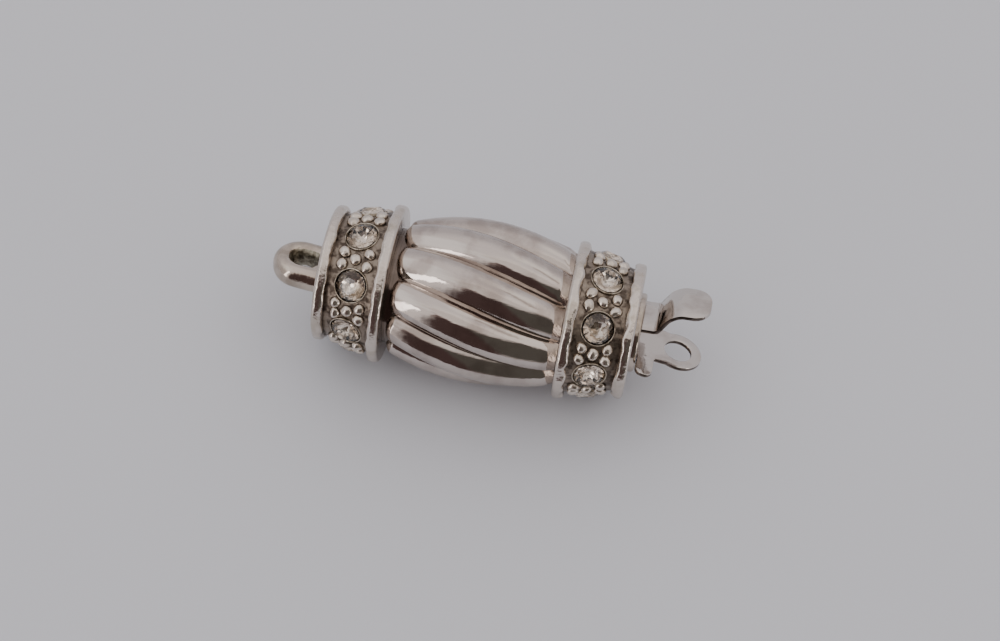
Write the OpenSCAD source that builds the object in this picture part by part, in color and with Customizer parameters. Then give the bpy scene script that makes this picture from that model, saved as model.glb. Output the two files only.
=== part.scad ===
// A barrel box clasp for a one-strand necklace or bracelet, lying on a table.
// A hollow fluted barrel sits between two bands of round stones. One end carries a cast loop. At the
// other a folded spring tongue slides into a slot: its lower leaf ends in a ring, and its upper leaf
// in a thumb tab that is pressed down to let it out.
// Each module draws its piece along the barrel's own axis, X, with the tongue's leaves across Z.
// lying() then turns the clasp to the roll at which two neighbouring lobes rest on the table.

/* [Fluted barrel] */
// Number of rounded lobes round the barrel
lobes = 10; // [8:1:12]
// Radius of the lobes' crests at the fattest place
crest_r = 6.235; // [6.1:0.005:6.4]
// Radius of the bow that the crests follow along the barrel
bow_r = 18; // [16:1:24]
// Place of the fattest section along the axis
belly_x = 0.4; // [0:0.1:0.8]
// Depth of the grooves between the lobes, as a share of the crest radius
groove_share = 0.15; // [0.08:0.01:0.17]
// Turn of the lobes along the barrel, in degrees for each millimetre
twist = 2.55; // [0:0.05:3]
// Angle of the first groove at the middle of the clasp
first_groove = -13.4; // [-18:0.1:18]
// Left end of the lobes
lobes_left = -6.25; // [-6.3:0.05:-5.6]
// Right end of the lobes
lobes_right = 6.54; // [6.2:0.02:6.56]
// Length over which a lobe's left tip rises from the neck
tip_len = 0.45; // [0.3:0.05:1.5]
// How far the grooves end short of the crests' tips at the left end
left_recede = 0.45; // [0:0.05:0.6]
// Share of a lobe's height that is left where its right end meets the rim
right_share = 0.8; // [0.6:0.01:1]
// Radius of the plain neck at both ends of the lobes
neck_r = 4.35; // [4.3:0.01:4.45]
// Radius of the hollow through the barrel
barrel_bore_r = 3.75; // [3.6:0.05:3.85]

/* [Stone bands] */
// Radius of the two rims beside the barrel
large_rim_r = 6.04; // [5.9:0.02:6.1]
// Radius of the two rims at the ends
small_rim_r = 5.18; // [5:0.02:5.4]
// Width of every rim
rim_w = 0.84; // [0.8:0.02:1.1]
// Middle of each large rim, measured from the middle of the clasp
large_rim_x = 7.03; // [7.01:0.01:7.2]
// Middle of each small rim, measured from the middle of the clasp
small_rim_x = 11.42; // [11.3:0.02:11.6]
// Rounding of the rims' edges
rim_round = 0.3; // [0.2:0.02:0.4]
// Radius of the band's ground beside the large rim
ground_large_r = 5.4; // [5.3:0.02:5.5]
// Radius of the band's ground beside the small rim
ground_small_r = 4.62; // [4.6:0.02:4.8]
// Radius of the hollow through a band
band_bore_r = 3.76; // [3.7:0.02:4.05]
// Number of stones round each band
stones = 8; // [6:1:8]
// Angle of the left band's first stone
left_stone_a = 12.9; // [0:0.1:45]
// Angle of the right band's first stone
right_stone_a = 8.3; // [0:0.1:45]
// Middle of the row of stones, measured from the middle of the clasp
stone_x = 9.15; // [9.1:0.02:9.3]

/* [Stones and grains] */
// Radius of a stone at its girdle
stone_r = 1.12; // [1:0.01:1.16]
// Radius of a stone's table
table_r = 0.64; // [0.5:0.02:0.75]
// Height of the table above the band's ground
table_h = 0.44; // [0.35:0.01:0.5]
// Inner radius of the round cup that holds a stone
cup_r = 1.2; // [1.18:0.01:1.38]
// Wall of the cup
cup_wall = 0.12; // [0.1:0.01:0.2]
// Height of the cup's lip above the band's ground
lip_h = 0.05; // [0.04:0.01:0.2]
// Depth of the cup below the band's ground
cup_depth = 0.74; // [0.35:0.01:0.76]
// Radius of a cast grain
grain_r = 0.43; // [0.3:0.01:0.45]
// Height of a grain's centre above the band's ground
grain_h = 0; // [-0.05:0.01:0.12]
// Distance of the outer grains from the middle of the row, along the axis
grain_dx = 0.97; // [0.9:0.01:1]
// Angle of the outer grains from the middle one, round the axis
grain_da = 5.3; // [5:0.1:6]

/* [Loop] */
// Half width of the loop
loop_r = 2.05; // [1.9:0.05:2.2]
// Thickness of the loop
loop_t = 1.9; // [1.7:0.05:2]
// Middle of the loop's round end
loop_x = -13.9; // [-14.2:0.05:-13.6]
// Middle of the loop's hole
loop_hole_x = -13.5; // [-13.6:0.05:-13.3]
// Radius of the loop's hole
loop_hole_r = 0.75; // [0.7:0.01:0.85]
// How far the hole's mouth is drawn out each way along the axis
loop_mouth = 0.3; // [0.2:0.02:0.35]
// Sideways lean of the cast loop
loop_lean = 6; // [0:0.5:8]

/* [Slotted end] */
// Radius of the raised boss round the slot
boss_r = 3; // [2.95:0.05:3.4]
// Outer face of the boss
boss_x = 12.28; // [12.2:0.02:12.4]
// Half width of the slot
slot_y = 2.1; // [2.05:0.01:2.14]
// Lower edge of the slot
slot_low = -0.82; // [-0.9:0.02:-0.7]
// Upper edge of the slot
slot_high = 1.98; // [1.96:0.01:2]

/* [Tongue] */
// Thickness of the spring sheet
sheet_t = 0.32; // [0.3:0.01:0.34]
// Downward slope of the lower leaf
leaf_slope = 9.9; // [9:0.1:10]
// Middle of the ring's hole along the axis
ring_x = 15.27; // [15:0.01:15.4]
// Height of the ring's middle above the axis
ring_z = -1.03; // [-1.05:0.005:-0.9]
// Outer radius of the ring
ring_r = 1.85; // [1.8:0.01:1.9]
// Radius of the ring's hole
ring_hole_r = 1.06; // [1:0.01:1.15]
// Half width of the lower leaf inside the slot
leaf_y = 1.93; // [1.8:0.01:1.95]
// Sideways play that the tongue has taken up in the slot
tongue_y = -0.12; // [-0.12:0.01:0.12]
// Half width of the stop shoulders outside the slot
wing_y = 3.84; // [3.4:0.02:3.9]
// Length of the stop shoulders along the axis
wing_len = 1.3; // [1.25:0.05:1.6]
// Half width of the notch between the shoulders and the ring
notch_y = 1.7; // [1.4:0.05:1.8]
// Place of the fold along the axis
fold_x = 4.8; // [4.6:0.1:5.5]
// Radius of the rolled bead at the inner end of the upper leaf
bead_r = 0.26; // [0.24:0.01:0.28]
// Running gap round the bead
bead_gap = 0.04; // [0.03:0.01:0.05]
// Half width of the upper leaf and its thumb tab
tab_y = 1.7; // [1.6:0.02:1.75]
// Outer end of the thumb tab
tab_end_x = 17.03; // [16.9:0.01:17.2]
// Height of the thumb tab's outer end above the axis
tab_end_z = 3.72; // [3.6:0.02:3.9]

/* [Hidden] */
STONE_NODES = [for (side = ["left", "right"], k = [1 : 8]) str(side, "_stone_", k)];

fit_gap = 0.03;
spigot_len = 1;
spigot_r = 4.24;
plate_r = 4.5;
plate_t = 0.55;
girdle_t = 0.08;
culet_r = 0.14;
points_per_lobe = 8;
lobe_step = 360 / lobes;
through = 40;

// Places of the barrel's sections: close together at the tips, about a millimetre apart between
TIP_STEPS = [0, 0.04, 0.12, 0.25, 0.42, 0.65, 0.95, 1.35];
mid_sections = 9;
bevel_len = TIP_STEPS[5];
mid_from = lobes_left + 1.35;
mid_to = lobes_right - 1.35;
SECTIONS = concat([for (s = TIP_STEPS) lobes_left + s],
                  [for (i = [1 : mid_sections]) mid_from + i * (mid_to - mid_from) / (mid_sections + 1)],
                  [for (i = [len(TIP_STEPS) - 1 : -1 : 0]) lobes_right - TIP_STEPS[i]]);

// The lobes' ends stand a little proud of the neck all the way round
root_r = neck_r + 0.06;

// Radius of the crests at a place along the axis
function crest(x) = crest_r - (bow_r - sqrt(pow(bow_r, 2) - pow(x - belly_x, 2)));

// Radius of a lobe's back at an angle from its crest: part of an ellipse, which is full at 1
lobe_round = 0.8;
function sag(t) = 1 - sqrt(1 - pow(lobe_round * t, 2));
function lobe_back(x, a) = crest(x) * (1 - groove_share * sag(2 * a / lobe_step) / sag(1));

// Rounded rise from 0 to 1
function rise(u) = u <= 0 ? 0 : u >= 1 ? 1 : sqrt(1 - pow(1 - u, 2));

// Share of a lobe's full height at a place and an angle: a round tip on the left, a bevel on the right
function tip(x, a) =
    let (q = pow(2 * a / lobe_step, 2), u = (lobes_right - x) / bevel_len)
    min(rise((x - lobes_left - left_recede * q) / tip_len), right_share + (1 - right_share) * min(u, 1));

function flute_r(x, a) = root_r + (max(lobe_back(x, a), neck_r + 0.14) - root_r) * tip(x, a);

// Point i of the section at x: angle from the top, turning towards the front.
// The inner ring at each end lies in the neck's wall.
function flute_point(x, i, inner = false) =
    let (a = lobe_step * ((i % points_per_lobe) / points_per_lobe - 0.5),
         k = floor(i / points_per_lobe),
         f = first_groove + lobe_step * (k + 0.5) + a + twist * x,
         r = inner ? (neck_r + barrel_bore_r) / 2 : flute_r(x, a))
    [x, -r * sin(f), r * cos(f)];

round_points = lobes * points_per_lobe;
FLUTE_POINTS = concat([for (i = [0 : round_points - 1]) flute_point(lobes_left, i, true)],
                      [for (x = SECTIONS, i = [0 : round_points - 1]) flute_point(x, i)],
                      [for (i = [0 : round_points - 1]) flute_point(lobes_right, i, true)]);

// The clasp lies on the two lobes beside this groove, and its lowest point is at height 0
down_groove = 6;
roll = first_groove + lobe_step * down_groove + twist * belly_x - 180;
rest_h = max([for (p = FLUTE_POINTS) -(p[2] * cos(roll) - p[1] * sin(roll))]);
loop_tip_x = loop_x - loop_r;
middle_x = (tab_end_x + loop_tip_x) / 2;

// Band places, from the barrel's side outwards
x_in = large_rim_x - rim_w / 2;
x_ground_in = large_rim_x + rim_w / 2;
x_ground_out = small_rim_x - rim_w / 2;
x_out = small_rim_x + rim_w / 2;
ground_taper = atan((ground_large_r - ground_small_r) / (x_ground_out - x_ground_in));

function ground_r(x) =
    ground_large_r - (x - x_ground_in) * (ground_large_r - ground_small_r) / (x_ground_out - x_ground_in);

function arc(c, r, from, to, n = 4) =
    [for (i = [0 : n]) let (a = from + (to - from) * i / n) c + r * [cos(a), sin(a)]];

// A rim's rounded outline, as radius and place, from the barrel's side outwards
function rim(r, x) =
    concat(arc([r - rim_round, x - rim_w / 2 + rim_round], rim_round, -90, 0),
           arc([r - rim_round, x + rim_w / 2 - rim_round], rim_round, 0, 90));

// The upper leaf's middle line: place and height, from the bead to the thumb tab
fold_z = ring_z + (ring_x - fold_x) * tan(leaf_slope) + (bead_r + bead_gap + sheet_t / 2) / cos(leaf_slope);
curl_r = bead_r + bead_gap + sheet_t;
LEAF_LINE = [[fold_x, fold_z], [8, 1.47], [13.2, 1.7], [13.42, 1.78], [13.56, 1.96], [13.98, 2.78],
             [14.14, 3.02], [14.36, 3.24], [14.68, 3.46], [14.98, 3.59], [15.35, 3.63],
             [tab_end_x, tab_end_z]];

// Direction square to a line at its point i
function normal(line, i) =
    let (a = line[max(i - 1, 0)], b = line[min(i + 1, len(line) - 1)], d = (b - a) / norm(b - a))
    [-d[1], d[0]];

// A line thickened by t / 2 each way
function strip(line, t) =
    concat([for (i = [0 : len(line) - 1]) line[i] + normal(line, i) * t / 2],
           [for (i = [len(line) - 1 : -1 : 0]) line[i] - normal(line, i) * t / 2]);

// Shared placing

module lying() translate([-middle_x, 0, rest_h]) rotate([-roll, 0, 0]) children();

// Turns a shape drawn round Z so that it stands round the barrel's axis
module along_axis() rotate([0, 90, 0]) children();

// Stands a shape on the band's ground at a place and an angle, with its height pointing outwards
module on_ground(x, a)
    along_axis() rotate([0, 0, 180 + a]) translate([ground_r(x), 0, x])
        rotate([0, 90 - ground_taper, 0]) children();

// Barrel

module flutes()
    let (rows = len(SECTIONS) + 2, n = round_points)
    polyhedron(
        points = FLUTE_POINTS,
        faces = concat([[for (i = [0 : n - 1]) i]],
                       [for (j = [0 : rows - 2], i = [0 : n - 1])
                           let (k = (i + 1) % n) [j * n + i, (j + 1) * n + i, (j + 1) * n + k, j * n + k]],
                       [[for (i = [n - 1 : -1 : 0]) (rows - 1) * n + i]]),
        convexity = 8);

module fluted_barrel() {
    neck_len = 2 * (x_in - fit_gap);
    color("silver") lying() difference() {
        union() {
            flutes();
            along_axis() cylinder(r = neck_r, h = neck_len, center = true, $fn = 96);
            along_axis()
                cylinder(r = spigot_r, h = neck_len + 2 * (spigot_len - fit_gap), center = true, $fn = 96);
        }
        along_axis() cylinder(r = barrel_bore_r, h = through, center = true, $fn = 96);
    }
}

// Bands

// The ring starts its turn within a stone's cup, so that no grain lies on its seam
module band_ring(a) {
    socket_r = spigot_r + fit_gap;
    along_axis() rotate([0, 0, 180 + a]) rotate_extrude($fn = 96) polygon(concat(
        [[socket_r, x_in]], rim(large_rim_r, large_rim_x),
        [[ground_large_r, x_ground_in], [ground_small_r, x_ground_out]], rim(small_rim_r, small_rim_x),
        [[plate_r, x_out], [plate_r, x_out - plate_t], [band_bore_r, x_out - plate_t],
         [band_bore_r, x_in + spigot_len], [socket_r, x_in + spigot_len]]));
}

// One cast grain, half sunk in the ground
module grain(x, a) on_ground(x, a) translate([0, 0, grain_h]) sphere(r = grain_r, $fn = 10);

// Five grains between two stones: two, one and two
module grain_group(a) {
    for (side = [-1, 1], turn = [-1, 1]) grain(stone_x + side * grain_dx, a + turn * grain_da);
    grain(stone_x, a);
}

module band(first_a) {
    pitch = 360 / stones;
    difference() {
        union() {
            band_ring(first_a);
            for (k = [0 : stones - 1]) {
                on_ground(stone_x, first_a + k * pitch) translate([0, 0, -cup_depth])
                    cylinder(r = cup_r + cup_wall, h = cup_depth + lip_h, $fn = 48);
                grain_group(first_a + (k + 0.5) * pitch);
            }
        }
        for (k = [0 : stones - 1])
            on_ground(stone_x, first_a + k * pitch) translate([0, 0, -cup_depth])
                cylinder(r = cup_r, h = cup_depth + table_h + 1, $fn = 48);
    }
}

module left_band() color("gainsboro") lying() rotate([0, 0, 180]) band(-left_stone_a);

module right_band() color("gainsboro") lying() band(right_stone_a);

// Stones

// A round stone with an eight-sided table, crown facets, a girdle and a pavilion with a small culet
module cut_stone() {
    skin = 0.01;
    hull() {
        translate([0, 0, table_h - skin]) cylinder(r = table_r, h = skin, $fn = 8);
        translate([0, 0, lip_h - girdle_t / 2]) cylinder(r = stone_r, h = girdle_t, $fn = 16);
        translate([0, 0, fit_gap - cup_depth]) cylinder(r = culet_r, h = skin, $fn = 8);
    }
}

module left_stone(k)
    color([0.86, 0.9, 0.88, 0.6]) lying() rotate([0, 0, 180])
        on_ground(stone_x, -left_stone_a - (k - 1) * 360 / stones) cut_stone();

module right_stone(k)
    color([0.86, 0.9, 0.88, 0.6]) lying()
        on_ground(stone_x, right_stone_a + (k - 1) * 360 / stones) cut_stone();

// Ends

// The plate that closes a band's outer end, from the left or the right
module end_plate() {
    x = x_out - plate_t + fit_gap;
    along_axis() translate([0, 0, x]) cylinder(r = plate_r - fit_gap, h = x_out - fit_gap - x, $fn = 96);
}

// A flat round with a fully rounded edge
module pebble(x) {
    edge = loop_t / 2;
    translate([x, 0, 0]) rotate_extrude($fn = 40) translate([loop_r - edge, 0]) intersection() {
        circle(r = edge, $fn = 20);
        translate([0, -edge]) square([edge, 2 * edge]);
    }
}

module loop_end() {
    inner_x = -x_out + plate_t / 2;
    mouth_h = 0.42;
    color("gainsboro") lying() union() {
        mirror([1, 0, 0]) end_plate();
        translate([-x_out, 0, 0]) rotate([0, 0, -loop_lean]) translate([x_out, 0, 0]) difference() {
            intersection() {
                hull() {
                    pebble(loop_x);
                    pebble(-x_out);
                }
                translate([inner_x - through, -through / 2, -through / 2]) cube(through);
            }
            translate([loop_hole_x, 0, 0]) cylinder(r = loop_hole_r, h = through, center = true, $fn = 48);
            for (s = [0, 1]) mirror([0, 0, s]) hull() for (dx = [-loop_mouth, loop_mouth])
                translate([loop_hole_x + dx, 0, loop_t / 2 - mouth_h])
                    cylinder(r1 = loop_hole_r - loop_mouth, r2 = loop_hole_r + 0.1,
                             h = mouth_h + 0.02, $fn = 32);
        }
    }
}

module slotted_end() {
    boss_round = 0.22;
    color("gainsboro") lying() difference() {
        union() {
            end_plate();
            along_axis() rotate_extrude($fn = 96) polygon(concat(
                [[0, x_out - plate_t / 2], [boss_r, x_out - plate_t / 2]],
                arc([boss_r - boss_round, boss_x - boss_round], boss_round, 0, 90),
                [[0, boss_x]]));
        }
        translate([0, -slot_y, slot_low]) cube([through, 2 * slot_y, slot_high - slot_low]);
    }
}

// Tongue

// Seen from above, before it is tilted: the leaf, the stop shoulders, the notch and the ring
module tongue_outline() {
    wing_x = (boss_x + 0.05 - ring_x) / cos(leaf_slope);
    corner = 0.6;
    translate([(fold_x - ring_x) / cos(leaf_slope), -leaf_y])
        square([wing_x + (ring_x - fold_x) / cos(leaf_slope) + 0.3, 2 * leaf_y]);
    for (y = [corner - wing_y, wing_y - corner], x = [corner, wing_len - corner])
        translate([wing_x + x, y]) circle(r = corner, $fn = 32);
    translate([wing_x, corner - wing_y]) square([wing_len, 2 * (wing_y - corner)]);
    translate([wing_x + corner, -wing_y]) square([wing_len - 2 * corner, 2 * wing_y]);
    translate([wing_x, -notch_y]) square([-wing_x, 2 * notch_y]);
    circle(r = ring_r, $fn = 64);
}

// The half turn at the fold, open towards the upper leaf
module curl() {
    open_from = -78;
    open_to = 52;
    translate([fold_x, tongue_y, fold_z]) rotate([90, 0, 0])
        linear_extrude(height = 2 * leaf_y, center = true) difference() {
            circle(r = curl_r, $fn = 48);
            circle(r = bead_r + bead_gap, $fn = 48);
            polygon(concat([[0, 0]], arc([0, 0], 2, open_from, open_to, 6)));
        }
}

module tongue() {
    color("silver") lying() union() {
        translate([ring_x, tongue_y, ring_z]) rotate([0, leaf_slope, 0]) difference() {
            linear_extrude(height = sheet_t, center = true) tongue_outline();
            cylinder(r = ring_hole_r, h = 4, center = true, $fn = 64);
        }
        curl();
    }
}

// The upper leaf from above: straight sides and a round thumb end
module leaf_outline() {
    round_r = 1.3;
    translate([fold_x - bead_r, -tab_y]) square([tab_end_x - round_r - fold_x + bead_r, 2 * tab_y]);
    translate([fold_x, round_r - tab_y]) square([tab_end_x - fold_x, 2 * (tab_y - round_r)]);
    for (y = [round_r - tab_y, tab_y - round_r])
        translate([tab_end_x - round_r, y]) circle(r = round_r, $fn = 48);
}

module thumb_leaf() {
    color("silver") lying() union() {
        intersection() {
            rotate([90, 0, 0]) linear_extrude(height = 4 * tab_y, center = true)
                polygon(strip(LEAF_LINE, sheet_t));
            linear_extrude(height = 8) leaf_outline();
        }
        translate([fold_x, 0, fold_z]) rotate([90, 0, 0])
            cylinder(r = bead_r, h = 2 * tab_y, center = true, $fn = 32);
    }
}

fluted_barrel();
left_band();
right_band();
loop_end();
slotted_end();
tongue();
thumb_leaf();
for (k = [1 : 8]) {
    left_stone(k);
    right_stone(k);
}
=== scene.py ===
"""Looks of the barrel box clasp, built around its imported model.

Each piece is drawn along the barrel's own axis, X, in millimetres, with the tongue's leaves across Z and
angles counted from Z towards the front. LYING then turns it to the roll at which the clasp rests on two of
its lobes, and brings it to metres.
"""

import logging
import math
import random
from dataclasses import dataclass, field
from enum import Enum
from typing import Callable, Iterable, Sequence

import bmesh
import bpy
from mathutils import Matrix, Vector, noise


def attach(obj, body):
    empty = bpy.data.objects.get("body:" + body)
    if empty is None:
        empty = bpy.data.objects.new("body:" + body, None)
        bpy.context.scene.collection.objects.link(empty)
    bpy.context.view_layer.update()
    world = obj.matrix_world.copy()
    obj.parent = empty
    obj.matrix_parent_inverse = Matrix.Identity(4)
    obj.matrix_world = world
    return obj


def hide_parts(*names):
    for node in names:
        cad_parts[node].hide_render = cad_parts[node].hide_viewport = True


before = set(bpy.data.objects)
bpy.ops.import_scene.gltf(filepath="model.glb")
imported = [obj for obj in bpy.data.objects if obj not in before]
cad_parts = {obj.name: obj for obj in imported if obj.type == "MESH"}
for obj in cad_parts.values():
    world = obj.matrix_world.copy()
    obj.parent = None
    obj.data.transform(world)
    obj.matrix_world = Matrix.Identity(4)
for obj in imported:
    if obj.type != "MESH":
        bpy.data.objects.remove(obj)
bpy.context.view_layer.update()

log = logging.getLogger("clasp")

Socket = bpy.types.NodeSocket
Material = bpy.types.Material
Mesh = bmesh.types.BMesh
Face = bmesh.types.BMFace
Inputs = dict[int | str, object] | tuple[object, ...]
Held = tuple[float, float, float]

MM = 0.001
ROLL_DEGREES = 23.62
MIDDLE_X = 0.54
REST_H = 6.046509
WELD_MM = 1e-5
EDGE_ROUND_MM = 0.055
EDGE_TURN = math.radians(60.0)

# Settings that nodes share: a range held softly at both ends, and a mix of two colours
SOFT = {"interpolation_type": "SMOOTHSTEP"}
COLOURS = {"out": 2, "data_type": "RGBA"}


class Body(Enum):
    """Rigid bodies of the clasp that a piece can ride on."""

    CASE = "case"
    TONGUE = "tongue"
    UPPER_LEAF = "upper_leaf"


class Side(Enum):
    """The two bands of the barrel, with the sign of the axis that each one lies on."""

    LEFT = -1
    RIGHT = 1


def linear(code: str) -> tuple[float, float, float, float]:
    """Turns a display colour into the linear one that a socket takes.

    Args:
        code: Colour as a hash sign and six hexadecimal digits.

    Returns:
        Linear red, green and blue, with an alpha of 1.
    """
    parts = [int(code[i : i + 2], 16) / 255 for i in (1, 3, 5)]
    red, green, blue = (c / 12.92 if c <= 0.04045 else ((c + 0.055) / 1.055) ** 2.4 for c in parts)
    return (red, green, blue, 1.0)


def shifted(x: float, y: float, z: float) -> Matrix:
    """Matrix that moves a shape."""
    return Matrix.Translation((x, y, z))


def turned(degrees: float, axis: str) -> Matrix:
    """Matrix that turns a shape about one of the axes."""
    return Matrix.Rotation(math.radians(degrees), 4, axis)


LYING = Matrix.Scale(MM, 4) @ shifted(-MIDDLE_X, 0.0, REST_H) @ turned(-ROLL_DEGREES, "X")


class Graph:
    """A node tree that is filled node by node."""

    def __init__(self, tree: bpy.types.NodeTree) -> None:
        """Empties the tree."""
        self.tree = tree
        self.tree.nodes.clear()

    def add(self, kind: str, inputs: Inputs, out: int | str = 0, **settings: object) -> Socket | None:
        """Adds a node with its settings and links.

        Args:
            kind: Blender's name for the node type, without ShaderNode.
            inputs: Values or output sockets, in the order of the inputs or by their names or numbers.
            out: Name or number of the output that is given back.
            **settings: The node's own options.

        Returns:
            The output, or nothing from a node that has none.
        """
        node = self.tree.nodes.new(f"ShaderNode{kind}")
        for key, value in settings.items():
            setattr(node, key, value)
        for key, value in inputs.items() if isinstance(inputs, dict) else enumerate(inputs):
            if isinstance(value, Socket):
                self.tree.links.new(value, node.inputs[key])
            else:
                node.inputs[key].default_value = value
        return node.outputs[out] if node.outputs else None


class Shader(Graph):
    """A material's node tree, with its patterns and relief sized in millimetres."""

    def __init__(self, name: str) -> None:
        """Makes an empty material with the piece's object coordinates at hand.

        Args:
            name: The material's name.
        """
        self.material = bpy.data.materials.new(name)
        self.material.use_nodes = True
        super().__init__(self.material.node_tree)
        self.where = self.add("TexCoord", (), out="Object")

    def spread(self, size: float, detail: float, stretch: float = 1.0) -> dict[str, object]:
        """Inputs of soft noise whose patches are size millimetres across, and stretch times as long."""
        where = self.add("Mapping", {"Vector": self.where, "Scale": (1.0 / stretch, 1.0, 1.0)})
        return {"Vector": where, "Scale": 1.0 / (size * MM), "Detail": detail, "Roughness": 0.55}

    def mottled(self, first: str, second: str, size: float, detail: float, held: Held) -> Socket:
        """One colour with soft patches of another.

        Args:
            first: Colour of the ground.
            second: Colour of the patches.
            size: Width of the patches in millimetres.
            detail: How ragged they are.
            held: Noise levels at which they begin and are full, and the share that they reach.

        Returns:
            The mixed colour.
        """
        low, high, most = held
        cloud = self.add("TexNoise", self.spread(size, detail))
        share = self.add("MapRange", (cloud, low, high, 0.0, most), **SOFT)
        return self.add("Mix", {0: share, 6: linear(first), 7: linear(second)}, **COLOURS)

    def relief(
        self, size: float, detail: float, depth: float, stretch: float = 1.0, over: Socket | None = None
    ) -> Socket:
        """Soft bumps in the surface.

        Args:
            size: Width of the bumps in millimetres.
            detail: How ragged they are.
            depth: Their depth in millimetres.
            stretch: How many times as long as wide they are, along the barrel.
            over: Relief that is already there.

        Returns:
            The bent normal.
        """
        cloud = self.add("TexNoise", self.spread(size, detail, stretch))
        below = {"Normal": over} if over else {}
        return self.add("Bump", {"Height": cloud, "Distance": depth * MM} | below)

    def cylindrical(self) -> tuple[Socket, Socket]:
        """Finds where a spot lies in the barrel's own frame.

        Returns:
            Its place along the barrel's axis and its distance from it, both in metres.
        """
        middle = (MIDDLE_X * MM, 0.0, -REST_H * MM)
        centred = self.add("Mapping", {"Vector": self.where, "Location": middle})
        across = self.add("Mapping", {"Vector": centred, "Scale": (0.0, 1.0, 1.0)})
        radius = self.add("VectorMath", (across,), out="Value", operation="LENGTH")
        return self.add("SeparateXYZ", (centred,), out="X"), radius

    def finish(self, inputs: dict[str, object]) -> Material:
        """Joins a surface with those inputs to the output and returns the material."""
        self.add("OutputMaterial", {"Surface": self.add("BsdfPrincipled", inputs)})
        return self.material


# Rhodium over polished white metal: a mirror with a little warmth, over slow ripples left by casting or
# rolling, and with faint smudges where it has been handled
@dataclass(frozen=True)
class BrightPlate:
    """Mirror-bright rhodium plate over a smooth surface."""

    name: str
    clean: str
    smudged: str
    roughness: float = 0.075
    ripple_mm: float = 1.6
    ripple_depth_mm: float = 0.018
    streak_mm: float = 0.5
    streak_depth_mm: float = 0.014
    streak_stretch: float = 14.0
    smudge_mm: float = 2.4
    smudge_dulls: float = 0.07

    def tarnish_and_shade(self, s: Shader, colour: Socket) -> Socket:
        """Colour after years of wear, with painted shade; a cloth reaches all of this piece and no shade is
        painted on it, so it doesn't change.
        """
        return colour

    def make(self) -> Material:
        """Builds the material.

        Returns:
            The plate, smudged in colour and polish, with ripples over long draw lines.
        """
        s = Shader(self.name)
        colour = s.mottled(self.clean, self.smudged, self.smudge_mm, 4.0, (0.42, 0.66, 1.0))
        smudge = s.add("TexNoise", s.spread(self.smudge_mm, 4.0))
        rough = (smudge, 0.4, 0.7, self.roughness, self.roughness + self.smudge_dulls)
        drawn = s.relief(self.streak_mm, 3.0, self.streak_depth_mm, self.streak_stretch)
        return s.finish(
            {
                "Base Color": self.tarnish_and_shade(s, colour),
                "Metallic": 1.0,
                "Roughness": s.add("MapRange", rough, **SOFT),
                "Normal": s.relief(self.ripple_mm, 2.0, self.ripple_depth_mm, over=drawn),
            }
        )


# The same plate; the crests that a cloth rides over stay bright, and the groove ends and the necks are
# coloured dark brown, partly tarnish and partly painted shade
@dataclass(frozen=True)
class FlutedPlate(BrightPlate):
    """Bright plate over the fluted barrel, darkened brown in its groove ends and on its necks: partly
    tarnish, partly painted shade.
    """

    name: str = "rhodium_plate_fluted"
    clean: str = "#CAC0B9"
    smudged: str = "#B0A49D"
    deep: str = "#6F645D"
    crest_r: float = 6.235
    bow_r: float = 18.0
    belly_x: float = 0.4
    dull_to: float = 0.832
    bright_from: float = 0.866
    wedge_from: float = -4.9
    wedge_to: float = -6.2
    wedge: float = 0.06
    ragged: float = 0.03
    ragged_mm: float = 0.5

    def tarnish_and_shade(self, s: Shader, colour: Socket) -> Socket:
        """Browns the metal where its radius is a small share of the crest's, as tarnish and painted shade.

        Args:
            s: The material's node tree.
            colour: Colour of the clean metal.

        Returns:
            The colour with its tarnish and painted shade, whose edge is ragged and which widens in a wedge at
            the left.
        """
        # Painted shade with some tarnish: the groove ends and the necks are coloured darker brown
        along, radius = s.cylindrical()
        past = s.add("Math", (along, self.belly_x * MM), operation="SUBTRACT")
        fall = s.add("Math", (past, past), operation="MULTIPLY")
        bowed = (fall, -0.5 / (self.bow_r * MM), self.crest_r * MM)
        share = s.add("Math", (radius, s.add("Math", bowed, operation="MULTIPLY_ADD")), operation="DIVIDE")
        cloud = s.add("TexNoise", s.spread(self.ragged_mm, 4.0))
        share = s.add("Math", (cloud, self.ragged, share), operation="MULTIPLY_ADD")
        wedge = s.add("MapRange", (along, self.wedge_to * MM, self.wedge_from * MM, self.wedge, 0.0), **SOFT)
        share = s.add("Math", (share, wedge), operation="SUBTRACT")
        dull_to, bright_from = (level + self.ragged / 2.0 for level in (self.dull_to, self.bright_from))
        shine = s.add("MapRange", (share, dull_to, bright_from, 0.0, 1.0), **SOFT)
        return s.add("Mix", {0: shine, 6: linear(self.deep), 7: colour}, **COLOURS)
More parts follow.
